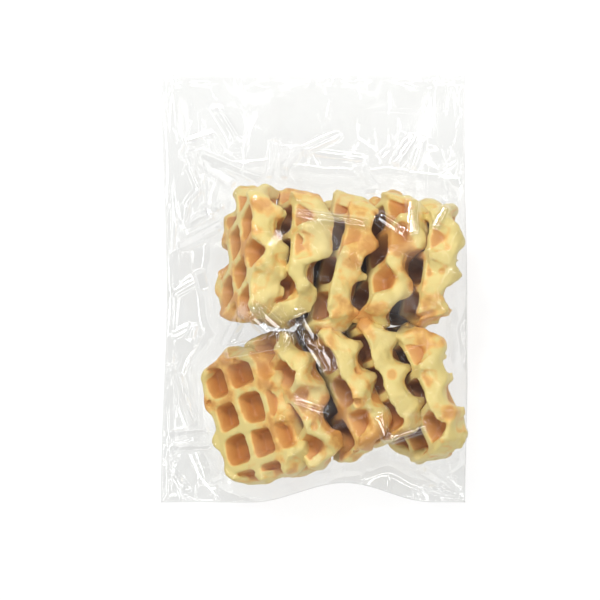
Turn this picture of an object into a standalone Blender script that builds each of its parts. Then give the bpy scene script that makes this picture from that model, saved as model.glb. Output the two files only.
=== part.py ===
"""A clear sealed bag of Belgian waffles, lying on its back.

The bag and what fills it are one solid: a flat film bag, empty along its top and left
edges, drawn tight over two rows of waffles that lean on each other like fallen dominoes.
X runs across the bag, Y from its bottom seal to its top seal, Z up from the surface that
it lies on. The origin is the middle of its footprint. All sizes are in metres.
"""

import math

import bmesh
import bpy
import numpy as np

# The bag, as it lies
BAG_WIDTH = 0.182
BAG_LENGTH = 0.256
WAIST = 0.0035  # how far the left side is drawn in where the bag is full
SEAL_ARCH = 0.012  # how far the bottom seal is drawn up at its middle
SEAL_ARCH_SPAN = (-0.40, 0.80)  # where that arch begins and ends, as shares of the half width
SEAL_THICKNESS = 0.0014  # two films and the air between them, as they lie
EDGE_HEIGHT = 0.0045  # how high the edge stands off the surface where the bag is empty
EDGE_WAVE = 0.0020  # how much that height varies along the edge
SIDE_LIFT = 0.0240  # how much higher the right side stands, beside the waffles
SIDE_LIFT_SPAN = (-0.98, 0.50)  # where that begins and ends, as shares of the half length
SEAL_LIFT = 0.0090  # how much higher the bottom seal stands at the middle of its arch
EDGE_LIFT_REACH = 0.024  # how far in from the edge the back film comes down to the surface
FILM_GAP = 0.0008  # how far the film stands off what it covers
FILM_TIGHTNESS = 0.80  # over the waffles: 1 is drawn tight, 0 follows every hollow
SLACK = 0.03  # the same where the bag is empty

# The waffles' form
WAFFLE_HALF_WIDTH = 0.0325
WAFFLE_HALF_LENGTH = 0.0410
WAFFLE_HALF_THICKNESS = 0.0102
RIM_RADIUS = 0.0083
WAFFLE_SQUARENESS = 2.6  # superellipse exponent of the outline
NOSE_SQUARENESS = 2.2  # the same of the rim's section

# Each waffle: where the middle of its upper rim is, across and along the bag, then its lean,
# its turn about Z and its share of the full length
WAFFLES = {
    "upper_1": ((-0.0262, 0.0186), 68, -5, 1.03),
    "upper_2": ((-0.0045, 0.0162), 65, -13, 1.02),
    "upper_3": ((0.0228, 0.0116), 63, -16, 1.02),
    "upper_4": ((0.0500, 0.0128), 62, -20, 1.01),
    "upper_5": ((0.0742, 0.0135), 64, -9, 0.96),
    "lower_1": ((-0.0160, -0.0716), 40, 13, 1.00),
    "lower_2": ((-0.0010, -0.0640), 56, 18, 1.05),
    "lower_3": ((0.0265, -0.0552), 58, 19, 1.05),
    "lower_4": ((0.0475, -0.0485), 60, 20, 0.97),
    "lower_5": ((0.0722, -0.0585), 60, 17, 1.03),
}

# The mesh: cells across and along
CELLS_ACROSS = 42
CELLS_ALONG = 58
BRIDGED_CELLS = 2  # the film bridges hollows up to twice as wide
COVER_ROUNDS = 2  # rounds of averaging that smooth it over the waffles
TIGHT_ROUNDS = 600  # rounds that draw it tight
LOOSE_ROUNDS = 5  # rounds that only round it off
SAMPLES = 60  # points across each waffle when its height is measured


def remove_everything():
    for thing in list(bpy.data.objects):
        bpy.data.objects.remove(thing)


def hump(value, span):
    """A smooth rise from 0 at one end of the span to 1 at its middle and back."""
    low, high = span
    return np.sin(math.pi * np.clip((value - low) / (high - low), 0, 1)) ** 2


def waist(s, t):
    """How far the outline is drawn in: only the left side is, where the bag is full."""
    return WAIST * np.cos(t * math.pi / 2) ** 2 * np.clip(-s, 0, 1)


def outline_point(s, t):
    """Where the bag's flat outline puts s across and t along, each from -1 to 1."""
    half_width = BAG_WIDTH / 2 - waist(s, t)
    low = -BAG_LENGTH / 2 + SEAL_ARCH * hump(s, SEAL_ARCH_SPAN)
    share = (t + 1) / 2
    return s * half_width, low + share * (BAG_LENGTH / 2 - low)


def share_of(x, y):
    """The s and t that outline_point turns into x, y."""
    s, t = x / (BAG_WIDTH / 2), y / (BAG_LENGTH / 2)
    for _ in range(3):
        s = x / (BAG_WIDTH / 2 - waist(s, t))
        low = -BAG_LENGTH / 2 + SEAL_ARCH * hump(s, SEAL_ARCH_SPAN)
        t = 2 * (y - low) / (BAG_LENGTH / 2 - low) - 1
    return s, t


def waffle_poses():
    """Each waffle's centre, its axes across, along and out of it, and its half length."""
    for (x, y), lean, turn, length in WAFFLES.values():
        lean, turn = math.radians(lean), math.radians(turn)
        yaw = np.array(
            [
                [math.cos(turn), -math.sin(turn), 0],
                [math.sin(turn), math.cos(turn), 0],
                [0, 0, 1],
            ]
        )
        across = yaw @ (math.cos(lean), 0, math.sin(lean))
        along = yaw @ (0, 1, 0)
        out = yaw @ (-math.sin(lean), 0, math.cos(lean))
        to_rim = (WAFFLE_HALF_WIDTH - RIM_RADIUS) * across
        height = WAFFLE_HALF_WIDTH * math.sin(lean) + WAFFLE_HALF_THICKNESS * math.cos(lean)
        centre = np.array((x - to_rim[0], y - to_rim[1], height + FILM_GAP))
        yield centre, across, along, out, WAFFLE_HALF_LENGTH * length


def waffle_surface(centre, across, along, out, half_length):
    """Points all over one waffle's rounded outer form."""
    angle = np.linspace(0, 2 * math.pi, 4 * SAMPLES, endpoint=False)[:, None]
    rise = np.linspace(-math.pi / 2, math.pi / 2, SAMPLES)[None, :]

    def power(value, exponent):
        return np.sign(value) * np.abs(value) ** (2 / exponent)

    reach = power(np.cos(rise), NOSE_SQUARENESS * 2)
    u = WAFFLE_HALF_WIDTH * power(np.cos(angle), WAFFLE_SQUARENESS) * reach
    v = half_length * power(np.sin(angle), WAFFLE_SQUARENESS) * reach
    w = WAFFLE_HALF_THICKNESS * power(np.sin(rise), NOSE_SQUARENESS) + 0 * angle
    return centre + u[..., None] * across + v[..., None] * along + w[..., None] * out


def contents_heights(columns, rows):
    """The heights of the waffles' tops and undersides over the points of the film's grid."""
    top = np.zeros((columns, rows))
    under = np.full((columns, rows), np.inf)
    for pose in waffle_poses():
        points = waffle_surface(*pose).reshape(-1, 3)
        s, t = share_of(points[:, 0], points[:, 1])
        i = np.clip(np.rint((s + 1) / 2 * (columns - 1)).astype(int), 1, columns - 2)
        j = np.clip(np.rint((t + 1) / 2 * (rows - 1)).astype(int), 1, rows - 2)
        np.maximum.at(top, (i, j), points[:, 2] + FILM_GAP)
        np.minimum.at(under, (i, j), points[:, 2] - FILM_GAP)
    return top, np.maximum(under, 0)


def edge_ripple(s, t):
    """How high the bag's edge stands where nothing lifts it."""
    return EDGE_HEIGHT + EDGE_WAVE * np.sin(9 * s + 4 * t) * np.cos(5 * t - 3 * s)


def edge_rise(s, t):
    """How much higher the edge stands beside what fills the bag."""
    side = SIDE_LIFT * np.sqrt(hump(t, SIDE_LIFT_SPAN)) * np.clip(s, 0, 1) ** 6
    return side + SEAL_LIFT * hump(s, SEAL_ARCH_SPAN) * np.clip(-t, 0, 1) ** 6


def back_height(s, t, inset, under):
    """The back film: it curls up to the edge, and bulges out where the edge is lifted."""
    near = np.clip(1 - inset / EDGE_LIFT_REACH, 0, 1)
    curl = near**2 * (3 - 2 * near)
    bulge = 1 - np.sqrt(1 - near**2)
    return np.minimum(edge_ripple(s, t) * curl + edge_rise(s, t) * bulge, under)


def relaxed(height, floor, rounds):
    """The height after rounds of averaging that never take it below the floor."""
    height = height.copy()
    for _ in range(rounds):
        mean = (height[:-2, 1:-1] + height[2:, 1:-1] + height[1:-1, :-2] + height[1:-1, 2:]) / 4
        height[1:-1, 1:-1] = np.maximum(mean, floor[1:-1, 1:-1])
    return height


def grown(grid, cells):
    """The grid with each high place widened by some cells."""
    for _ in range(cells):
        wide = grid.copy()
        wide[1:] = np.maximum(wide[1:], grid[:-1])
        wide[:-1] = np.maximum(wide[:-1], grid[1:])
        wide[:, 1:] = np.maximum(wide[:, 1:], grid[:, :-1])
        wide[:, :-1] = np.maximum(wide[:, :-1], grid[:, 1:])
        grid = wide
    return grid


def bridged(grid, cells, rounds):
    """The grid with its narrow hollows filled up to their brims, and smoothed."""
    wide = np.pad(grid, cells)
    filled = -grown(-grown(wide, cells), cells)[cells:-cells, cells:-cells]
    return relaxed(filled, np.full(grid.shape, -np.inf), rounds)


def film_heights(s, t):
    """The heights of the front film and the back film over the grid s, t."""
    contents, under = contents_heights(*s.shape)
    cover = np.maximum(bridged(contents, BRIDGED_CELLS, COVER_ROUNDS), contents)
    edge = edge_ripple(s, t) + edge_rise(s, t)
    tight = relaxed(np.maximum(cover, edge), cover, TIGHT_ROUNDS)
    loose = relaxed(np.minimum(tight, np.maximum(cover, edge)), cover, LOOSE_ROUNDS)
    filled = bridged((contents > 0).astype(float), BRIDGED_CELLS + 1, COVER_ROUNDS)
    tightness = SLACK + (FILM_TIGHTNESS - SLACK) * filled
    front = tightness * tight + (1 - tightness) * loose
    inset = np.minimum((1 - np.abs(s)) * BAG_WIDTH, (1 - np.abs(t)) * BAG_LENGTH) / 2
    back = back_height(s, t, inset, under)
    return np.maximum(front, back) + SEAL_THICKNESS, back


def film_material():
    material = bpy.data.materials.new("clear_film")
    material.use_nodes = True
    shader = material.node_tree.nodes["Principled BSDF"]
    shader.inputs["Base Color"].default_value = (0.86, 0.72, 0.46, 1.0)
    shader.inputs["Roughness"].default_value = 0.15
    shader.inputs["Metallic"].default_value = 0.0
    return material


def make_bag():
    """A flat grid, thickened to a body, with its two sheets moved to the films' heights."""
    mesh = bpy.data.meshes.new("waffle_bag")
    body = bmesh.new()
    bmesh.ops.create_grid(body, x_segments=CELLS_ACROSS, y_segments=CELLS_ALONG, size=1.0)
    back_verts = list(body.verts)
    shares = np.array([(v.co.x, v.co.y) for v in back_verts])
    column = np.rint((shares[:, 0] + 1) / 2 * CELLS_ACROSS).astype(int)
    row = np.rint((shares[:, 1] + 1) / 2 * CELLS_ALONG).astype(int)

    s, t = np.meshgrid(
        np.linspace(-1, 1, CELLS_ACROSS + 1), np.linspace(-1, 1, CELLS_ALONG + 1), indexing="ij"
    )
    x, y = outline_point(s, t)
    front, back = film_heights(s, t)

    raised = bmesh.ops.extrude_face_region(body, geom=list(body.faces))
    front_verts = [v for v in raised["geom"] if isinstance(v, bmesh.types.BMVert)]
    key = {(round(v.co.x, 4), round(v.co.y, 4)): v for v in front_verts}
    for n, vert in enumerate(back_verts):
        i, j = column[n], row[n]
        partner = key[(round(vert.co.x, 4), round(vert.co.y, 4))]
        partner.co = (x[i, j], y[i, j], front[i, j])
        vert.co = (x[i, j], y[i, j], back[i, j])
    bmesh.ops.recalc_face_normals(body, faces=body.faces)
    body.to_mesh(mesh)
    body.free()
    mesh.shade_smooth()
    mesh.materials.append(film_material())
    return bpy.data.objects.new("waffle_bag", mesh)


def main():
    remove_everything()
    parts = bpy.data.collections.new("waffle_bag")
    bpy.context.scene.collection.children.link(parts)
    parts.objects.link(make_bag())


main()
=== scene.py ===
"""The looks of a clear sealed bag of Belgian waffles that lies on its back.

Ten waffles are meshed from fields of distances, as dough between two irons, and laid in
two leaning rows. A folded film is drawn over them. All sizes are in metres, except inside
a waffle, which is worked out in millimetres.
"""

import math

import bpy
import numpy as np
from mathutils import Matrix, Vector


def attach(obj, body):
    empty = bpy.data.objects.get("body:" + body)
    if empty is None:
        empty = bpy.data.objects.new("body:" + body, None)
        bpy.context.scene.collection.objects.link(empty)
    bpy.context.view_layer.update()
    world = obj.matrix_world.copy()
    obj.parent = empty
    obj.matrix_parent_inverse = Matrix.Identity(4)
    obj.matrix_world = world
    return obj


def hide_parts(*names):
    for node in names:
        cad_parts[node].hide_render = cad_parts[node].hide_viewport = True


MM = 0.001

# The bag's outline and edge, as the CAD has them
BAG_WIDTH = 0.182
BAG_LENGTH = 0.256
WAIST = 0.0035
SEAL_ARCH = 0.012
SEAL_ARCH_SPAN = (-0.40, 0.80)
EDGE_HEIGHT = 0.0045
EDGE_WAVE = 0.0020
SIDE_LIFT = 0.0240
SIDE_LIFT_SPAN = (-0.98, 0.50)
SEAL_LIFT = 0.0090
LIFT_SHARPNESS = 6  # how close to the edge both lifts keep
EDGE_LIFT_REACH = 0.024
FILM_GAP = 0.0008

# The waffles, as the CAD has them: where the middle of the upper rim is, across and along the
# bag, then the lean, the turn about Z and the share of the full length
WAFFLE_HALF_WIDTH = 0.0325
WAFFLE_HALF_LENGTH = 0.0410
WAFFLE_HALF_THICKNESS = 0.0102
RIM_RADIUS = 0.0083
WAFFLES = {
    "upper_1": ((-0.0262, 0.0186), 68, -5, 1.03),
    "upper_2": ((-0.0045, 0.0162), 65, -13, 1.02),
    "upper_3": ((0.0228, 0.0116), 63, -16, 1.02),
    "upper_4": ((0.0500, 0.0128), 62, -20, 1.01),
    "upper_5": ((0.0742, 0.0135), 64, -9, 0.96),
    "lower_1": ((-0.0160, -0.0716), 40, 13, 1.00),
    "lower_2": ((-0.0010, -0.0640), 56, 18, 1.05),
    "lower_3": ((0.0265, -0.0552), 58, 19, 1.05),
    "lower_4": ((0.0475, -0.0485), 60, 20, 0.97),
    "lower_5": ((0.0722, -0.0585), 60, 17, 1.03),
}

# How each waffle's dough met the irons: a stud's place across and along it in millimetres,
# and the grid's turn in degrees
GRIDS = {
    "upper_1": ((6.0, -10.6), 35),
    "upper_2": ((13.5, 0.6), 22),
    "upper_3": ((11.0, 15.6), 8),
    "upper_4": ((12.1, 4.3), 42),
    "upper_5": ((12.3, -5.7), 0),
    "lower_1": ((7.4, 6.0), 6),
    "lower_2": ((19.0, 18.8), 30),
    "lower_3": ((20.0, -1.1), 15),
    "lower_4": ((15.9, -1.7), 5),
    "lower_5": ((9.0, 20.6), 18),
}

TAPERS = {"upper_1": 0.24}  # how much narrower its far end is
FIRST_SEED = 20

# One waffle, in millimetres
PITCH = 21.0
STUD_TOP = 8.8  # half a stud's side where it enters the dough
STUD_FLOOR = 5.7  # and where it ends
STUD_DEPTH = 8.4
STUD_SQUARENESS = 5
OUTLINE_SQUARENESS = 3.3
OUTLINE_SHRINK = 1.2  # how far inside the plain outline the dough's front is on the whole
OUTLINE_SQUEEZE = 0.30  # how much further out it came where the irons left it thicker
OUTLINE_BULGES = (0.8, 2.0)  # the range of the bulges in it
OUTLINE_BULGING = 1.6
RIM_SLIMNESS = 0.7  # how much slimmer than its full radius the rim is on the whole
RIM_BLUR = 3.0  # how far the free rim smooths out the irons' steps
RIM_SWING = 1.8  # how much further than the pressed dough the rim winds up and down
RIM_JOIN = 2.5  # how softly the rim runs into the pressed dough
RIM_RISE = 2.0  # how far the free rim may swell past the faces of the pressed dough
PRESSED_FROM = 7.0  # how far inside the front the irons' studs are fully pressed in
PRESSED_TO = 3.2  # and where they stop
FIELD_STEP = 0.9
FIELD_MARGIN = 7.0
FIELD_HEADROOM = 4.0

# What is uneven in it: how much it strays, and over what length
GRID_STRAY = (0.8, 40)
OUTLINE_STRAY = (1.1, 24)
RIM_LOBES = (2.4, 30)
RIM_STRAY = (0.6, 14)
RIM_GRAIN = (0.25, 5)
PRESSED_STRAY = (0.25, 7)

# Where air broke out of the rim: small holes this share of the way out to the front
DIMPLES = 7
DIMPLE_BAND = (0.80, 0.98)
DIMPLE_SIZES = (1.6, 3.0)
DIMPLE_BROWN = 0.7
DIMPLE_BROWN_REACH = 2.2

# Dough as it bakes, from the free rim at 0 to the floor of a pocket at 1
CRUST_COLOURS = (
    (0.0, (0.81, 0.655, 0.25)),
    (0.30, (0.84, 0.51, 0.145)),
    (0.55, (0.68, 0.33, 0.085)),
    (0.78, (0.56, 0.22, 0.050)),
    (1.0, (0.24, 0.065, 0.014)),
)
IRON_REACH = 4.0  # how many millimetres from an iron the dough still browns
FREE_PALENESS = 0.5  # how much less the free rim browns than the pressed dough
RIDGE_PALENESS = 0.78  # how much less than a pocket the top of a ridge browns
RIDGE_DEPTH = 0.25  # how much of a pocket's depth counts as the top of a ridge
RAGGED_SIZE = 0.007
RAGGEDNESS = 0.9
BROWNING = (0.25, 0.75)
BLUSH_SIZE = 0.026  # how large the toasted patches of the free rim are
BLUSH_SEED = 5
BLUSH_SPREAD = (0.49, 0.63)
BLUSH_RAGGEDNESS = 0.35
BLUSH_MOST = 0.55
BAKED_LEAST = 0.29
BAKED_DEEPER = 0.32  # how much more a pocket's floor is baked
BAKED_SIZE = 0.012
BAKED_STRAY = 0.35
CRUST_ROUGHNESS = 0.5
CRUST_GLOW = 0.05  # how much of the light goes through the dough, and how far
CRUST_GLOW_REACH = (0.004, 0.002, 0.0008)
COARSE_CRUMB = (0.0035, 0.0007, 0.6)  # size, depth and strength of the crust's bumps
FINE_CRUMB = (0.0011, 0.00025, 0.5)

# Painted shade in the gaps between waffles: the crust's colour is darkened there, where one waffle
# shades the next
GAP_CELLS = 20  # gaps up to twice as wide are shaded
GAP_DEPTH = 0.027  # how far below the rims a gap is darkest
GAP_SHADE = 0.88
GAP_SHADE_FROM = 0.2
# the dark brown that the painted shade darkens the crust towards
PAINTED_SHADE_COLOUR = (0.13, 0.042, 0.011, 1)
OPEN_END = (0.54, 0.84)  # between these shares of its half length the painted shade of its end runs out
OPEN_FACE_BLEND = 3.0  # over how many millimetres it runs out at a row's last face

# The film's grid, and how it is drawn over the waffles
FILM_ACROSS = 184
FILM_ALONG = 260
FILM_TIGHTNESS = 0.80  # over the waffles: 1 is drawn tight, 0 follows every hollow
SLACK = 0.03  # the same where the bag is empty
BRIDGED_CELLS = 12  # the film bridges hollows up to twice as wide
COVER_ROUNDS = 60  # rounds of averaging that smooth it over the waffles
FILLED_CELLS = 13
FILLED_ROUNDS = 40
TIGHT_ROUNDS = 300
LOOSE_ROUNDS = 90
SEAL_WIDTH = 0.004

# The film's folds: straight sharp crests, each with its start and end in millimetres from the
# bag's middle and its half width
FOLDS = (
    ((-77, 83), (-46, 61), 2.6),
    ((-68, 80), (-31, 63), 2.2),
    ((-78, 87), (-59, 93), 1.8),
    ((-74, 74), (-68, 59), 2.0),
    ((-68, 59), (-76, 50), 2.0),
    ((-76, 50), (-76, 39), 2.0),
    ((-75, 38), (-53, 50), 2.0),
    ((-65, 50), (-60, 40), 1.8),
    ((-60, 109), (-47, 89), 1.6),
    ((-56, 109), (-43, 89), 1.4),
    ((-23, 88), (-26, 65), 1.8),
    ((-17, 86), (-17, 65), 2.0),
    ((-8, 82), (31, 77), 2.4),
    ((-8, 84), (-17, 71), 2.0),
    ((-5, 82), (16, 92), 1.8),
    ((27, 74), (37, 58), 2.2),
    ((29, 57), (39, 56), 1.8),
    ((61, 92), (49, 74), 2.4),
    ((66, 90), (60, 72), 2.0),
    ((79, 65), (76, 44), 2.0),
    ((-83, 23), (-53, 38), 2.4),
    ((-86, -4), (-71, 5), 2.2),
    ((-68, 10), (-64, -2), 2.6),
    ((-85, -28), (-74, -22), 2.2),
    ((-70, -22), (-74, -31), 2.0),
    ((-80, -52), (-71, -80), 1.6),
    ((-85, -109), (-74, -121), 2.2),
    ((-88, -88), (-62, -84), 1.6),
    ((-88, -96), (-60, -94), 1.6),
    ((-62, -115), (-52, -109), 2.0),
    ((64, -107), (84, -121), 2.2),
    ((68, -118), (86, -122), 1.8),
    ((-52, -36), (-38, -10), 3.4),
    ((-38, -11), (-14, -32), 4.8),
    ((-52, -38), (-19, -31), 3.4),
    ((-12, -14), (10, -49), 4.8),
    ((-12, -65), (8, -71), 2.4),
    ((37, -73), (44, -89), 2.8),
    ((44, -88), (66, -80), 2.4),
    ((-11, 43), (31, 37), 2.6),
    ((37, 43), (58, 29), 2.6),
    ((57, 53), (58, 30), 3.2),
    ((69, 33), (77, 48), 2.4),
)
FOLD_SHINE = 1.4  # how much more they shine than the plain film
FOLD_LIFT = 0.0025  # how far at most one is lifted so that no waffle cuts it
FOLD_FADE = 0.625  # how many half widths past its foot one runs out
FOLD_STATIONS = 7  # how many places along one its foot is fitted to
FLANK_SLOPES = (0.1, 0.6, 101)  # the least and the greatest, and how many are tried

# Finer creases: facet size, stretch, turn in degrees, crease width and depth
CRACKLES = (
    (0.016, 0.45, 35, 0.0012, 0.00040),
    (0.012, 0.40, -50, 0.0010, 0.00034),
    (0.020, 0.35, 80, 0.0014, 0.00048),
)
CREASED_SIZE = 0.030
CREASED_SPREAD = (0.49, 0.66)

# What the film does with light: the shares that it mirrors and scatters
FRONT_MIRRORS = 0.13
BACK_MIRRORS = 0.04
STEEP_MIRRORS = 0.4
STEEP_SHARPNESS = 3.5
CLINGING = 0.90  # how much less it shines where it clings to the buttery waffles
FILM_TINT = (0.955, 0.957, 0.95, 1)
FILM_ROUGHNESS = 0.085
HAZE_COLOUR = (0.9, 0.9, 0.88, 1)
HAZE_LEAST = 0.012
HAZE = 0.07  # how much milkier it is where it is creased all over
HAZE_SIZE = 0.030
HAZE_SPREAD = (0.46, 0.70)
HAZE_SEED = 7

# The camera's frame: its width, and its middle in the bag's own frame
FRAME_WIDTH = 0.360
FRAME_CENTRE = (-0.0078, -0.0069)
CAMERA_HEIGHT = 1.60
SENSOR = 36.0

# The table and the lights
FLOOR_HALF = 3.0
FLOOR_GAP = 0.0004
FLOOR_COLOUR = (0.22, 0.22, 0.22, 1)
FLOOR_ROUGHNESS = 0.9
FLOOR_GLOW = 0.82  # how much light the table gives off by itself, as a light table does
FLOOR_RISE = 0.20  # and how much more of it towards the top
FLOOR_RISE_SPAN = (0.0, 0.16)
KEY_PLACE = (-0.26, 0.68, 0.95)
KEY_SIZE = (0.20, 0.20)
KEY_POWER = 5.5
STRIP_DISTANCE = 0.72
STRIP_HEIGHT = 0.98
STRIP_SIZE = (1.45, 0.10)
STRIP_POWERS = (2.3, 3.0, 2.8, 2.3)  # at the right, top, left and bottom
SPOKE_SIZE = (0.04, 1.45)
SPOKE_POWER = 1.4
WORLD_LIGHT = 0.14


def waves(rng, points, size, count=9):
    """A smooth random value from about -1 to 1 at each point, changing over about size."""
    total = np.zeros(points.shape[:-1])
    for _ in range(count):
        direction = rng.normal(size=points.shape[-1])
        direction /= np.linalg.norm(direction) * size * rng.uniform(0.7, 1.5)
        total += np.sin(points @ direction * 2 * math.pi + rng.uniform(0, 2 * math.pi))
    return total / math.sqrt(count)


def stray(rng, points, reach):
    """Smooth random lengths at the points, given how large they are and over what length."""
    size, length = reach
    return size * waves(rng, points, length)


def pocket_depth(u, v):
    """How deep the iron's studs press at u, v: square studs with sloping sides, in a grid."""
    du = (u + PITCH / 2) % PITCH - PITCH / 2
    dv = (v + PITCH / 2) % PITCH - PITCH / 2
    k = STUD_SQUARENESS
    away = (np.abs(du) ** k + np.abs(dv) ** k) ** (1 / k)
    share = np.clip((STUD_TOP - away) / (STUD_TOP - STUD_FLOOR), 0, 1)
    return STUD_DEPTH * (0.5 * share + 0.5 * share**2 * (3 - 2 * share))


def blurred(grid, reach):
    """The flat grid smoothed over about reach millimetres."""
    offsets = np.arange(-3 * reach, 3 * reach + FIELD_STEP, FIELD_STEP)
    weights = np.exp(-((offsets / reach) ** 2) / 2)
    weights /= weights.sum()
    half = len(weights) // 2
    for axis in (0, 1):
        pad = [(half, half) if a == axis else (0, 0) for a in (0, 1)]
        wide = np.pad(grid, pad, mode="edge")
        size = grid.shape[axis]
        grid = sum(w * np.take(wide, range(i, i + size), axis) for i, w in enumerate(weights))
    return grid


def soft_min(a, b, reach):
    """The lesser of a and b, blended where they are nearly the same."""
    share = np.clip(0.5 + (b - a) / (2 * reach), 0, 1)
    return b + (a - b) * share - reach * share * (1 - share)


class Waffle:
    """Dough pressed between two irons whose studs are half a pitch apart, with a free rim."""

    def __init__(self, seed, grid, half_length, taper):
        rng = np.random.default_rng(seed)
        self.taper = taper
        (stud_u, stud_v), spin = grid
        spin = math.radians(spin)
        self.half_width = WAFFLE_HALF_WIDTH / MM
        self.half_length = half_length / MM
        self.half_thickness = WAFFLE_HALF_THICKNESS / MM
        sides = (
            self.half_width + FIELD_MARGIN,
            self.half_length + FIELD_MARGIN,
            self.half_thickness + FIELD_HEADROOM,
        )
        self.axes = [np.arange(-side, side, FIELD_STEP) for side in sides]
        u, v = np.meshgrid(*self.axes[:2], indexing="ij")
        flat = np.stack([u, v], -1)
        strays = [stray(rng, flat, GRID_STRAY) for _ in range(2)]
        du, dv = u - stud_u, v - stud_v
        grid_u = math.cos(spin) * du + math.sin(spin) * dv + strays[0]
        grid_v = -math.sin(spin) * du + math.cos(spin) * dv + strays[1]
        self.top = self.half_thickness - pocket_depth(grid_u, grid_v)
        self.bottom = pocket_depth(grid_u + PITCH / 2, grid_v + PITCH / 2) - self.half_thickness
        self.outside = self.outline(rng, u, v)
        self.free = np.clip((self.outside + PRESSED_FROM) / (PRESSED_FROM - PRESSED_TO), 0, 1)
        self.dimples = self.rim_dimples(rng)
        self.field = self.distances(rng, flat)

    def outline(self, rng, u, v):
        """How far u, v lies outside the dough's front."""
        k = OUTLINE_SQUARENESS
        half_width = self.half_width * (1 - self.taper * np.clip(v / self.half_length, 0, 1) ** 2)
        share = (np.abs(u / half_width) ** k + np.abs(v / self.half_length) ** k) ** (1 / k)
        away = np.hypot(u, v)
        outside = away - away / np.maximum(share, 1e-6)
        angle = np.arctan2(v / self.half_length, u / self.half_width)
        for turns in range(2, 6):
            bulge = rng.uniform(*OUTLINE_BULGES) / turns * OUTLINE_BULGING
            outside -= bulge * np.sin(turns * angle + rng.uniform(0, 6.3))
        lobes = blurred(self.top - self.bottom, RIM_BLUR)
        outside = outside + OUTLINE_SHRINK - OUTLINE_SQUEEZE * (lobes - lobes.mean())
        return outside - stray(rng, np.stack([u, v], -1), OUTLINE_STRAY)

    def rim_dimples(self, rng):
        """Places and sizes of the small holes where air broke out of the rim."""
        made = []
        for _ in range(DIMPLES):
            angle = rng.uniform(0, 2 * math.pi)
            share = rng.uniform(*DIMPLE_BAND)
            place = (
                self.half_width * share * math.cos(angle),
                self.half_length * share * math.sin(angle),
                rng.uniform(-1, 1) * self.half_thickness,
            )
            made.append((place, rng.uniform(*DIMPLE_SIZES)))
        return made

    def distances(self, rng, flat):
        """The field, below 0 in the dough: a pressed slab with a round free rim round it."""
        w = self.axes[2]
        points = np.empty((*flat.shape[:2], len(w), 3))
        points[..., :2] = flat[:, :, None, :]
        points[..., 2] = w
        radius = RIM_RADIUS / MM - RIM_SLIMNESS + stray(rng, flat, RIM_LOBES)
        middle = RIM_SWING * blurred((self.top + self.bottom) / 2, RIM_BLUR)
        beyond = (self.outside + radius)[..., None]
        rim = np.hypot(beyond, w - middle[..., None]) - radius[..., None]
        rim += stray(rng, points, RIM_STRAY) + stray(rng, points, RIM_GRAIN)
        top, bottom = (g[..., None] for g in (self.top, self.bottom))
        free = self.free[..., None]
        slab = np.maximum(w - top, bottom - w)
        pressed = np.maximum(slab, (self.outside + PRESSED_TO)[..., None])
        pressed += stray(rng, points, PRESSED_STRAY)
        body = soft_min(rim, pressed, RIM_JOIN)
        away = free * (self.half_thickness + STUD_DEPTH)
        studs = np.maximum(w - top - away, bottom - w - away)
        plates = np.abs(w) - self.half_thickness - RIM_RISE * free
        field = np.maximum(np.maximum(body, studs), plates)
        for place, size in self.dimples:
            field = np.maximum(field, size - np.linalg.norm(points - place, axis=-1))
        return field

    def sample(self, grid, points):
        """A value of the flat grid at points, in between its own."""
        at = [(points[:, a] - self.axes[a][0]) / FIELD_STEP for a in (0, 1)]
        low = [np.clip(at[a].astype(int), 0, grid.shape[a] - 2) for a in (0, 1)]
        part = [np.clip(at[a] - low[a], 0, 1) for a in (0, 1)]
        rows = [
            grid[low[0] + d, low[1]] * (1 - part[1]) + grid[low[0] + d, low[1] + 1] * part[1]
            for d in (0, 1)
        ]
        return rows[0] * (1 - part[0]) + rows[1] * part[0]

    def touched(self, points):
        """How much each point lay against an iron, and how deep in a pocket it is, 0 to 1."""
        top, bottom, free = (self.sample(g, points) for g in (self.top, self.bottom, self.free))
        height = points[:, 2]
        clearance = np.minimum(np.abs(top - height), np.abs(height - bottom))
        iron = np.clip(1 - clearance / IRON_REACH, 0, 1) * (1 - FREE_PALENESS * free)
        depth = np.clip((self.half_thickness - np.abs(height)) / STUD_DEPTH, 0, 1)
        ridge = np.clip(1 - depth / RIDGE_DEPTH, 0, 1)
        for place, size in self.dimples:
            away = np.linalg.norm(points - place, axis=-1)
            iron = np.maximum(iron, DIMPLE_BROWN * np.clip(DIMPLE_BROWN_REACH - away / size, 0, 1))
        return iron * (1 - RIDGE_PALENESS * ridge), depth * (1 - free)


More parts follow.
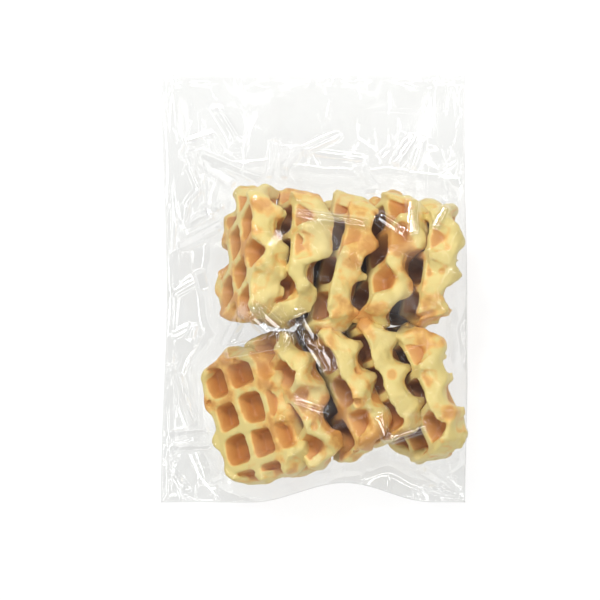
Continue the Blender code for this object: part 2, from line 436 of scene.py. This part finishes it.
def net_over(field, origin, step):
    """A closed mesh of quads where the field crosses 0, with one point in each cell it crosses."""
    inside = field < 0
    size = [s - 1 for s in field.shape]

    def corner(values, offset):
        return values[tuple(slice(o, o + n) for o, n in zip(offset, size))]

    total, count = np.zeros((*size, 3)), np.zeros(size)
    for axis in range(3):
        for i, j in ((0, 0), (0, 1), (1, 0), (1, 1)):
            start = [i, j]
            start.insert(axis, 0)
            end = list(start)
            end[axis] = 1
            first, last = corner(field, start), corner(field, end)
            crossed = corner(inside, start) != corner(inside, end)
            share = np.where(crossed, first / np.where(crossed, first - last, 1), 0)
            for a in range(3):
                total[..., a] += np.where(crossed, start[a] + (share if a == axis else 0), 0)
            count += crossed
    active = count > 0
    index = np.full(size, -1)
    index[active] = np.arange(active.sum())
    cells = np.argwhere(active)
    points = (cells + total[active] / count[active][:, None]) * step + np.array(origin)

    faces = []
    for axis in range(3):
        others = [a for a in range(3) if a != axis]
        low = [slice(1, s - 1) for s in field.shape]
        low[axis] = slice(0, field.shape[axis] - 1)
        high = list(low)
        high[axis] = slice(1, field.shape[axis])
        first, last = inside[tuple(low)], inside[tuple(high)]
        edges = np.argwhere(first != last)
        outward = first[tuple(edges.T)]
        if axis == 1:
            outward = ~outward
        ring = []
        for offsets in ((0, 0), (1, 0), (1, 1), (0, 1)):
            cell = edges.copy()
            for other, offset in zip(others, offsets):
                cell[:, other] += 1 - offset
            ring.append(index[tuple(cell.T)])
        quads = np.stack(ring, 1)
        faces.append(np.where(outward[:, None], quads, quads[:, ::-1]))
    return points, np.concatenate(faces)


def mesh_object(name, points, faces, material, values=None):
    """A smooth object of the points and faces, with a named value at each point."""
    mesh = bpy.data.meshes.new(name)
    mesh.from_pydata(np.asarray(points).tolist(), [], np.asarray(faces).tolist())
    for key, value in (values or {}).items():
        attribute = mesh.attributes.new(key, "FLOAT", "POINT")
        attribute.data.foreach_set("value", np.asarray(value, np.float32))
    mesh.shade_smooth()
    mesh.materials.append(material)
    thing = bpy.data.objects.new(name, mesh)
    bpy.context.scene.collection.objects.link(thing)
    return thing


def waffle_axes(lean, yaw):
    """The directions across, along and out of a waffle that leans and is turned."""
    turn = np.array(Matrix.Rotation(yaw, 3, "Z"))
    across = turn @ (math.cos(lean), 0, math.sin(lean))
    along = turn @ (0, 1, 0)
    out = turn @ (-math.sin(lean), 0, math.cos(lean))
    return np.stack([across, along, out])


def make_waffles(material):
    """Each waffle its own piece, with how it browned and which parts are open to the outside and
    get no painted shade.
    """
    made = []
    for number, (name, (rim, lean, turn, length)) in enumerate(WAFFLES.items()):
        lean, turn = math.radians(lean), math.radians(turn)
        taper = TAPERS.get(name, 0.0)
        waffle = Waffle(number + FIRST_SEED, GRIDS[name], WAFFLE_HALF_LENGTH * length, taper)
        points, faces = net_over(waffle.field, [axis[0] for axis in waffle.axes], FIELD_STEP)
        iron, depth = waffle.touched(points)
        axes = waffle_axes(lean, turn)
        to_rim = (WAFFLE_HALF_WIDTH - RIM_RADIUS) * axes[0]
        placed = points * MM @ axes + (rim[0] - to_rim[0], rim[1] - to_rim[1], 0)
        placed[:, 2] += FILM_GAP - placed[:, 2].min()
        row_side = 1 if name.startswith("upper") else -1
        share = row_side * points[:, 1] / waffle.half_length
        open_end = np.clip((share - OPEN_END[0]) / (OPEN_END[1] - OPEN_END[0]), 0, 1)
        is_last = name.endswith("5")
        open_face = np.clip(0.5 - points[:, 2] / OPEN_FACE_BLEND, 0, 1) if is_last else 0
        values = {"iron": iron, "depth": depth, "open": np.maximum(open_end, open_face)}
        made.append(mesh_object(f"waffle_{name}", placed, faces, material, values))
    return made


def hump(value, span):
    """A smooth rise from 0 at one end of the span to 1 at its middle and back."""
    low, high = span
    return np.sin(math.pi * np.clip((value - low) / (high - low), 0, 1)) ** 2


def waist(s, t):
    """How much narrower the bag is at its left side."""
    return WAIST * np.cos(t * math.pi / 2) ** 2 * np.clip(-s, 0, 1)


def outline_point(s, t):
    """Where the bag's flat outline puts s across and t along, each from -1 to 1."""
    half_width = BAG_WIDTH / 2 - waist(s, t)
    low = -BAG_LENGTH / 2 + SEAL_ARCH * hump(s, SEAL_ARCH_SPAN)
    share = (t + 1) / 2
    return s * half_width, low + share * (BAG_LENGTH / 2 - low)


def share_of(x, y):
    """The s and t that outline_point turns into x, y."""
    s, t = x / (BAG_WIDTH / 2), y / (BAG_LENGTH / 2)
    for _ in range(3):
        s = x / (BAG_WIDTH / 2 - waist(s, t))
        low = -BAG_LENGTH / 2 + SEAL_ARCH * hump(s, SEAL_ARCH_SPAN)
        t = 2 * (y - low) / (BAG_LENGTH / 2 - low) - 1
    return s, t


def edge_ripple(s, t):
    """How high the bag's edge stands where nothing lifts it."""
    return EDGE_HEIGHT + EDGE_WAVE * np.sin(9 * s + 4 * t) * np.cos(5 * t - 3 * s)


def edge_rise(s, t):
    """How much higher the edge stands beside what fills the bag."""
    side = SIDE_LIFT * np.sqrt(hump(t, SIDE_LIFT_SPAN)) * np.clip(s, 0, 1) ** LIFT_SHARPNESS
    return side + SEAL_LIFT * hump(s, SEAL_ARCH_SPAN) * np.clip(-t, 0, 1) ** LIFT_SHARPNESS


def back_height(s, t, inset, under):
    """The back film: it curls up to the edge, and bulges out where the edge is lifted."""
    near = np.clip(1 - inset / EDGE_LIFT_REACH, 0, 1)
    curl = near**2 * (3 - 2 * near)
    bulge = 1 - np.sqrt(1 - near**2)
    return np.minimum(edge_ripple(s, t) * curl + edge_rise(s, t) * bulge, under)


def relaxed(height, floor, rounds):
    """The height after rounds of averaging that never take it below the floor."""
    height = height.copy()
    for _ in range(rounds):
        mean = (height[:-2, 1:-1] + height[2:, 1:-1] + height[1:-1, :-2] + height[1:-1, 2:]) / 4
        height[1:-1, 1:-1] = np.maximum(mean, floor[1:-1, 1:-1])
    return height


def grown(grid, cells):
    """The grid with each high place widened by some cells."""
    for _ in range(cells):
        wide = grid.copy()
        wide[1:] = np.maximum(wide[1:], grid[:-1])
        wide[:-1] = np.maximum(wide[:-1], grid[1:])
        wide[:, 1:] = np.maximum(wide[:, 1:], grid[:, :-1])
        wide[:, :-1] = np.maximum(wide[:, :-1], grid[:, 1:])
        grid = wide
    return grid


def bridged(grid, cells, rounds):
    """The grid with its narrow hollows filled up to their brims, and smoothed."""
    wide = np.pad(grid, cells)
    filled = -grown(-grown(wide, cells), cells)[cells:-cells, cells:-cells]
    return relaxed(filled, np.full(filled.shape, -np.inf), rounds)


def stretched(small, shape):
    """The small grid drawn out to shape, in between its own values."""
    for axis, size in enumerate(shape):
        at = np.linspace(0, small.shape[axis] - 1, size)
        low = np.clip(at.astype(int), 0, small.shape[axis] - 2)
        part = at - low
        part = part[:, None] if axis == 0 else part[None, :]
        small = np.take(small, low, axis) * (1 - part) + np.take(small, low + 1, axis) * part
    return small


def drawn_tight(cover, edge):
    """A film drawn tight over the cover from edge to edge, found on ever finer grids."""
    tight = np.maximum(cover, edge)
    for reduce in (8, 4, 2, 1):
        small = tight[::reduce, ::reduce]
        floor = cover[::reduce, ::reduce]
        small = relaxed(np.maximum(small, floor), floor, TIGHT_ROUNDS)
        tight = stretched(small, cover.shape)
        tight = np.maximum(tight, cover)
        for side in ((0, slice(None)), (-1, slice(None)), (slice(None), 0), (slice(None), -1)):
            tight[side] = edge[side]
    return tight


def over_film_grid(waffle):
    """The waffle's points, and the column and row of the film's grid over each."""
    points = np.array([v.co for v in waffle.data.vertices])
    s, t = share_of(points[:, 0], points[:, 1])
    i = np.clip(np.rint((s + 1) / 2 * FILM_ACROSS).astype(int), 1, FILM_ACROSS - 1)
    j = np.clip(np.rint((t + 1) / 2 * FILM_ALONG).astype(int), 1, FILM_ALONG - 1)
    return points, (i, j)


def contents_heights(waffles):
    """How high the waffles reach over each point of the film's grid, and how low under it."""
    top = np.zeros((FILM_ACROSS + 1, FILM_ALONG + 1))
    under = np.full(top.shape, np.inf)
    for waffle in waffles:
        points, places = over_film_grid(waffle)
        np.maximum.at(top, places, points[:, 2] + FILM_GAP)
        np.minimum.at(under, places, points[:, 2] - FILM_GAP / 2)
    return top, np.maximum(under, 0)


def shade_gaps(waffles):
    """Marks on each waffle how deep its points lie in the gaps between the rims, 0 to 1, as the
    mask of the painted shade there.
    """
    contents, _ = contents_heights(waffles)
    rims = bridged(contents, GAP_CELLS, FILLED_ROUNDS)
    for waffle in waffles:
        points, places = over_film_grid(waffle)
        exposed = np.empty(len(points))
        waffle.data.attributes["open"].data.foreach_get("value", exposed)
        painted_shade_mask = np.clip((rims[places] - points[:, 2]) / GAP_DEPTH, 0, 1) * (1 - exposed)
        waffle.data.attributes.new("painted_shade_mask", "FLOAT", "POINT").data.foreach_set("value", painted_shade_mask)


def glow_slope(middle, across, climb):
    """How steep a flank is, falling off across, when it mirrors the strip lights to the camera."""
    slopes = np.linspace(*FLANK_SLOPES)[:, None]
    normals = np.hstack([slopes * across - climb, np.ones_like(slopes)])
    normals /= np.linalg.norm(normals, axis=1, keepdims=True)
    to_camera = np.append(FRAME_CENTRE - middle, CAMERA_HEIGHT)
    mirrored = 2 * (normals @ to_camera)[:, None] * normals - to_camera
    hits = middle + mirrored[:, :2] / mirrored[:, 2:] * STRIP_HEIGHT
    return slopes[np.argmin(np.abs(np.abs(hits).max(axis=1) - STRIP_DISTANCE)), 0]


def add_fold(height, shine, contents, top, places, ends, width):
    """Draws the film into a straight shining fold: two flat flanks that meet in a sharp crest.

    Its foot follows the film or the waffles under it in a straight line, and its crest stays
    below the top.
    """
    start, end = ends
    length = np.linalg.norm(end - start)
    along = (end - start) / length
    across = np.array((-along[1], along[0]))
    low, high = ends.min(axis=0) - 2 * width, ends.max(axis=0) + 2 * width
    near = ((places > low) & (places < high)).all(axis=-1)
    away = places[near] - start
    a, side = away @ along, away @ across
    d = np.abs(side)
    foot = np.maximum(height[near], contents[near])
    stations = np.linspace(0, length, FOLD_STATIONS)
    reach = length / (FOLD_STATIONS - 1) + width
    feet = [foot[(np.abs(a - at) < reach) & (d < width)].max() for at in stations]
    rise, base = np.polyfit(stations, feet, 1)
    poking = max(foot - rise * at - base for at, foot in zip(stations, feet))
    slopes = [glow_slope((start + end) / 2, sign * across, rise * along) for sign in (1, -1)]
    crest = base + rise * a + min(poking, FOLD_LIFT) + max(slopes) * width
    fold = crest - np.where(side > 0, *slopes) * d
    fold -= max(0, fold[d < width].max() - top)
    beside = np.clip(1 - (d / width - 1) / FOLD_FADE, 0, 1)
    share = beside * np.clip(np.minimum(a, length - a) / width + 0.5, 0, 1)
    height[near] += (fold - height[near]) * share
    shine[near] = np.maximum(shine[near], FOLD_SHINE * share)


def grid_faces(number):
    """The quads of a grid of numbered points."""
    corners = (number[:-1, :-1], number[1:, :-1], number[1:, 1:], number[:-1, 1:])
    return np.stack(corners, -1).reshape(-1, 4)


def make_film(waffles, materials):
    """The closed film: a front drawn over the waffles and a back under them."""
    s, t = np.meshgrid(
        np.linspace(-1, 1, FILM_ACROSS + 1), np.linspace(-1, 1, FILM_ALONG + 1), indexing="ij"
    )
    x, y = outline_point(s, t)
    contents, under = contents_heights(waffles)
    inset = np.minimum((1 - np.abs(s)) * BAG_WIDTH, (1 - np.abs(t)) * BAG_LENGTH) / 2
    ripple = (edge_ripple(s, t) - EDGE_HEIGHT) * np.clip(1 - inset / EDGE_LIFT_REACH, 0, 1)
    edge = EDGE_HEIGHT + ripple + edge_rise(s, t)
    cover = np.maximum(bridged(contents, BRIDGED_CELLS, COVER_ROUNDS), contents)
    tight = drawn_tight(cover, edge)
    loose = relaxed(np.minimum(tight, np.maximum(cover, edge)), cover, LOOSE_ROUNDS)
    filled = bridged((contents > 0).astype(float), FILLED_CELLS, FILLED_ROUNDS)
    tightness = SLACK + (FILM_TIGHTNESS - SLACK) * filled
    front = tightness * tight + (1 - tightness) * loose
    shine = 1 - CLINGING * filled
    back = back_height(s, t, inset, under)

    top = front.max()
    places = np.stack([x, y], -1)
    for start, end, width in FOLDS:
        add_fold(front, shine, contents, top, places, np.array((start, end)) * MM, width * MM)
    front = np.maximum(front, contents)
    front = np.maximum(front, back + np.clip(inset / SEAL_WIDTH, 0, 1) * FILM_GAP)
    front[0], front[-1], front[:, 0], front[:, -1] = back[0], back[-1], back[:, 0], back[:, -1]

    columns, rows = s.shape
    front_number = np.arange(columns * rows).reshape(columns, rows)
    inner = np.zeros((columns, rows), bool)
    inner[1:-1, 1:-1] = True
    back_number = front_number.copy()
    back_number[inner] = columns * rows + np.arange(inner.sum())
    points = np.concatenate(
        [np.stack([x, y, front], -1).reshape(-1, 3), np.stack([x, y, back], -1)[inner]]
    )
    front_faces = grid_faces(front_number)
    faces = np.concatenate([front_faces, grid_faces(back_number)[:, ::-1]])
    shine = np.concatenate([shine.ravel(), np.ones(inner.sum())])
    film = mesh_object("film", points, faces, materials[0], {"shine": shine})
    film.data.materials.append(materials[1])
    index = np.repeat((0, 1), len(front_faces)).astype(np.int32)
    film.data.polygons.foreach_set("material_index", index)
    return film


class Nodes:
    """A material's node tree, written as short calls."""

    def __init__(self, name):
        self.material = bpy.data.materials.new(name)
        self.material.use_nodes = True
        self.tree = self.material.node_tree
        self.shader = self.tree.nodes["Principled BSDF"]
        self.place = self.tree.nodes.new("ShaderNodeTexCoord").outputs["Object"]

    def add(self, kind, inputs=None, **settings):
        """A node with its settings, and with each input set to a value or joined to a socket."""
        made = self.tree.nodes.new(kind)
        for key, value in settings.items():
            setattr(made, key, value)
        for key, value in (inputs or {}).items():
            if isinstance(value, bpy.types.NodeSocket):
                self.tree.links.new(value, made.inputs[key])
            else:
                made.inputs[key].default_value = value
        return made

    def attribute(self, name):
        return self.add("ShaderNodeAttribute", attribute_name=name).outputs["Fac"]

    def noise(self, size, detail=3.0, seed=0.0):
        """Noise whose blotches are about size metres across."""
        inputs = {"Vector": self.place, "W": seed, "Scale": 1 / size, "Detail": detail}
        return self.add("ShaderNodeTexNoise", inputs, noise_dimensions="4D").outputs["Fac"]

    def math(self, operation, *values):
        made = self.add("ShaderNodeMath", dict(enumerate(values)), operation=operation)
        return made.outputs[0]

    def spread(self, value, low, high):
        """A smooth 0 to 1 as the value goes from low to high."""
        inputs = {"Value": value, "From Min": low, "From Max": high}
        made = self.add("ShaderNodeMapRange", inputs, interpolation_type="SMOOTHSTEP")
        return made.outputs["Result"]

    def ramp(self, value, stops):
        """The colours of the stops, each a place and a colour, the first at 0 and the last at 1."""
        made = self.add("ShaderNodeValToRGB", {"Fac": value})
        elements = made.color_ramp.elements
        elements[0].color = (*stops[0][1], 1)
        elements[1].color = (*stops[-1][1], 1)
        for place, colour in stops[1:-1]:
            elements.new(place).color = (*colour, 1)
        return made.outputs["Color"]

    def mix(self, share, a, b):
        made = self.add("ShaderNodeMix", {"Factor": share, "A": a, "B": b}, data_type="RGBA")
        return made.outputs["Result"]

    def bump(self, height, depth, strength=1.0, under=None):
        inputs = {"Height": height, "Distance": depth, "Strength": strength}
        if under is not None:
            inputs["Normal"] = under
        return self.add("ShaderNodeBump", inputs).outputs["Normal"]

    def join(self, socket, name):
        self.tree.links.new(socket, self.shader.inputs[name])


def crust_material():
    """Baked dough: pale where it rose free, blushed in patches, browned where an iron lay on it,
    and darkened with painted shade in the gaps between waffles.
    """
    nodes = Nodes("crust")
    iron, depth = nodes.attribute("iron"), nodes.attribute("depth")
    ragged = nodes.math("MULTIPLY_ADD", nodes.noise(RAGGED_SIZE, 5), RAGGEDNESS, -RAGGEDNESS / 2)
    browned = nodes.spread(nodes.math("ADD", iron, ragged), *BROWNING)
    blotches = nodes.noise(BLUSH_SIZE, 2, BLUSH_SEED)
    blotches = nodes.math("MULTIPLY_ADD", ragged, BLUSH_RAGGEDNESS, blotches)
    blush = nodes.math("MULTIPLY", nodes.spread(blotches, *BLUSH_SPREAD), BLUSH_MOST)
    baked = nodes.math("MULTIPLY_ADD", depth, BAKED_DEEPER, BAKED_LEAST)
    baked = nodes.math("MULTIPLY_ADD", nodes.noise(BAKED_SIZE, 4), BAKED_STRAY, baked)
    toast = nodes.mix(browned, blush, baked)
    # painted shade: the colour is mixed towards dark brown where points lie deep in the gaps
    # between waffles
    shade = nodes.spread(nodes.attribute("painted_shade_mask"), GAP_SHADE_FROM, 1.0)
    shade = nodes.math("MULTIPLY", shade, GAP_SHADE)
    colour = nodes.mix(shade, nodes.ramp(toast, CRUST_COLOURS), PAINTED_SHADE_COLOUR)
    nodes.join(colour, "Base Color")
    nodes.shader.inputs["Roughness"].default_value = CRUST_ROUGHNESS
    nodes.shader.inputs["Subsurface Weight"].default_value = CRUST_GLOW
    nodes.shader.inputs["Subsurface Radius"].default_value = CRUST_GLOW_REACH
    size, depth, strength = COARSE_CRUMB
    coarse = nodes.bump(nodes.noise(size, 4), depth, strength)
    size, depth, strength = FINE_CRUMB
    nodes.join(nodes.bump(nodes.noise(size, 3), depth, strength, coarse), "Normal")
    return nodes.material


def crackle(nodes, size, stretch, turn, width):
    """Sharp straight creases between flat facets about size metres across, as 0 to 1."""
    place = nodes.add("ShaderNodeMapping", {"Vector": nodes.place, "Scale": (1, stretch, 0)})
    place.inputs["Rotation"].default_value = (0, 0, math.radians(turn))
    cells = nodes.add(
        "ShaderNodeTexVoronoi",
        {"Vector": place.outputs[0], "Scale": 1 / size},
        feature="DISTANCE_TO_EDGE",
        voronoi_dimensions="2D",
    )
    return nodes.spread(cells.outputs["Distance"], 0, width / size)


def film_material(name, mirrored):
    """Clear film: it passes most light straight on, mirrors some, and crackles into facets."""
    nodes = Nodes(name)
    nodes.tree.nodes.remove(nodes.shader)
    shine = nodes.attribute("shine")
    normal = None
    slack = nodes.math("MINIMUM", shine, 1.0)
    for seed, (size, stretch, turn, width, depth) in enumerate(CRACKLES):
        patch = nodes.spread(nodes.noise(CREASED_SIZE, 1, seed), *CREASED_SPREAD)
        crease = crackle(nodes, size, stretch, turn, width)
        normal = nodes.bump(crease, depth, nodes.math("MULTIPLY", patch, slack), normal)
    steep = nodes.add("ShaderNodeLayerWeight", {"Blend": 0.5}).outputs["Facing"]
    steep = nodes.math("POWER", steep, STEEP_SHARPNESS)
    share = nodes.math("MULTIPLY_ADD", steep, STEEP_MIRRORS, mirrored)
    share = nodes.math("MULTIPLY", share, shine)
    clear = nodes.add("ShaderNodeBsdfTransparent", {"Color": FILM_TINT})
    gloss = nodes.add("ShaderNodeBsdfGlossy", {"Roughness": FILM_ROUGHNESS, "Normal": normal})
    haze = nodes.add("ShaderNodeBsdfDiffuse", {"Color": HAZE_COLOUR})
    creased = nodes.spread(nodes.noise(HAZE_SIZE, 2, HAZE_SEED), *HAZE_SPREAD)
    milky = nodes.math("MULTIPLY_ADD", creased, HAZE, HAZE_LEAST)
    hazy = nodes.add("ShaderNodeMixShader", {0: milky, 1: clear.outputs[0], 2: haze.outputs[0]})
    both = nodes.add("ShaderNodeMixShader", {0: share, 1: hazy.outputs[0], 2: gloss.outputs[0]})
    output = nodes.tree.nodes["Material Output"]
    nodes.tree.links.new(both.outputs[0], output.inputs["Surface"])
    return nodes.material


def floor_material():
    """A light table, brighter towards the top."""
    nodes = Nodes("floor")
    nodes.shader.inputs["Base Color"].default_value = FLOOR_COLOUR
    nodes.shader.inputs["Roughness"].default_value = FLOOR_ROUGHNESS
    nodes.shader.inputs["Emission Color"].default_value = (1, 1, 1, 1)
    along = nodes.add("ShaderNodeSeparateXYZ", {"Vector": nodes.place}).outputs["Y"]
    rise = nodes.math("MULTIPLY", nodes.spread(along, *FLOOR_RISE_SPAN), FLOOR_RISE)
    nodes.join(nodes.math("ADD", rise, FLOOR_GLOW), "Emission Strength")
    return nodes.material


def make_floor():
    corners = ((-1, -1), (1, -1), (1, 1), (-1, 1))
    points = [(FLOOR_HALF * x, FLOOR_HALF * y, -FLOOR_GAP) for x, y in corners]
    floor = mesh_object("floor", points, [(0, 1, 2, 3)], floor_material())


def make_light(name, place, size, power):
    data = bpy.data.lights.new(name, "AREA")
    data.shape = "RECTANGLE"
    data.size, data.size_y = size
    data.energy = power
    light = bpy.data.objects.new(name, data)
    light.location = place
    light.rotation_euler = (-Vector(place)).to_track_quat("-Z", "Y").to_euler()
    bpy.context.scene.collection.objects.link(light)


def make_lights():
    """A small bright key light, four long strips in a square, and a spoke at each corner."""
    make_light("key", KEY_PLACE, KEY_SIZE, KEY_POWER)
    for number, power in enumerate(STRIP_POWERS):
        turn = Matrix.Rotation(number * math.pi / 2, 4, "Z")
        place = turn @ Vector((STRIP_DISTANCE, 0, STRIP_HEIGHT))
        make_light(f"strip_{number + 1}", place, STRIP_SIZE, power)
        place.rotate(Matrix.Rotation(math.pi / 4, 4, "Z"))
        make_light(f"spoke_{number + 1}", place, SPOKE_SIZE, SPOKE_POWER)


def make_camera():
    data = bpy.data.cameras.new("camera")
    data.sensor_width = SENSOR
    data.lens = SENSOR * CAMERA_HEIGHT / FRAME_WIDTH
    camera = bpy.data.objects.new("camera", data)
    camera.location = (*FRAME_CENTRE, CAMERA_HEIGHT)
    bpy.context.scene.collection.objects.link(camera)
    bpy.context.scene.camera = camera


def make_studio():
    make_floor()
    make_lights()
    world = bpy.data.worlds.new("world")
    world.use_nodes = True
    world.node_tree.nodes["Background"].inputs["Color"].default_value = (1, 1, 1, 1)
    world.node_tree.nodes["Background"].inputs["Strength"].default_value = WORLD_LIGHT
    bpy.context.scene.world = world
    bpy.context.scene.view_settings.view_transform = "Standard"
    make_camera()


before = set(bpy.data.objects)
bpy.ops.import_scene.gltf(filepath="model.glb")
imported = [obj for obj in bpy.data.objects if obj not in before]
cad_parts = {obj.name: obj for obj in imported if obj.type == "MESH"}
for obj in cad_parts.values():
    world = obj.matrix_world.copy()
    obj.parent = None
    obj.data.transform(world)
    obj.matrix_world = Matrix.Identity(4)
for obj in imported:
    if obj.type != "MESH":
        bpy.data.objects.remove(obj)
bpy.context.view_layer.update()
make_studio()
crust = crust_material()
waffles = make_waffles(crust)
shade_gaps(waffles)
for waffle in waffles:
    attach(waffle, "root")
    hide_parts("waffle_bag")
film_front = film_material("film_front", FRONT_MIRRORS)
film_back = film_material("film_back", BACK_MIRRORS)
film = make_film(waffles, (film_front, film_back))
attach(film, "root")
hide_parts("waffle_bag")
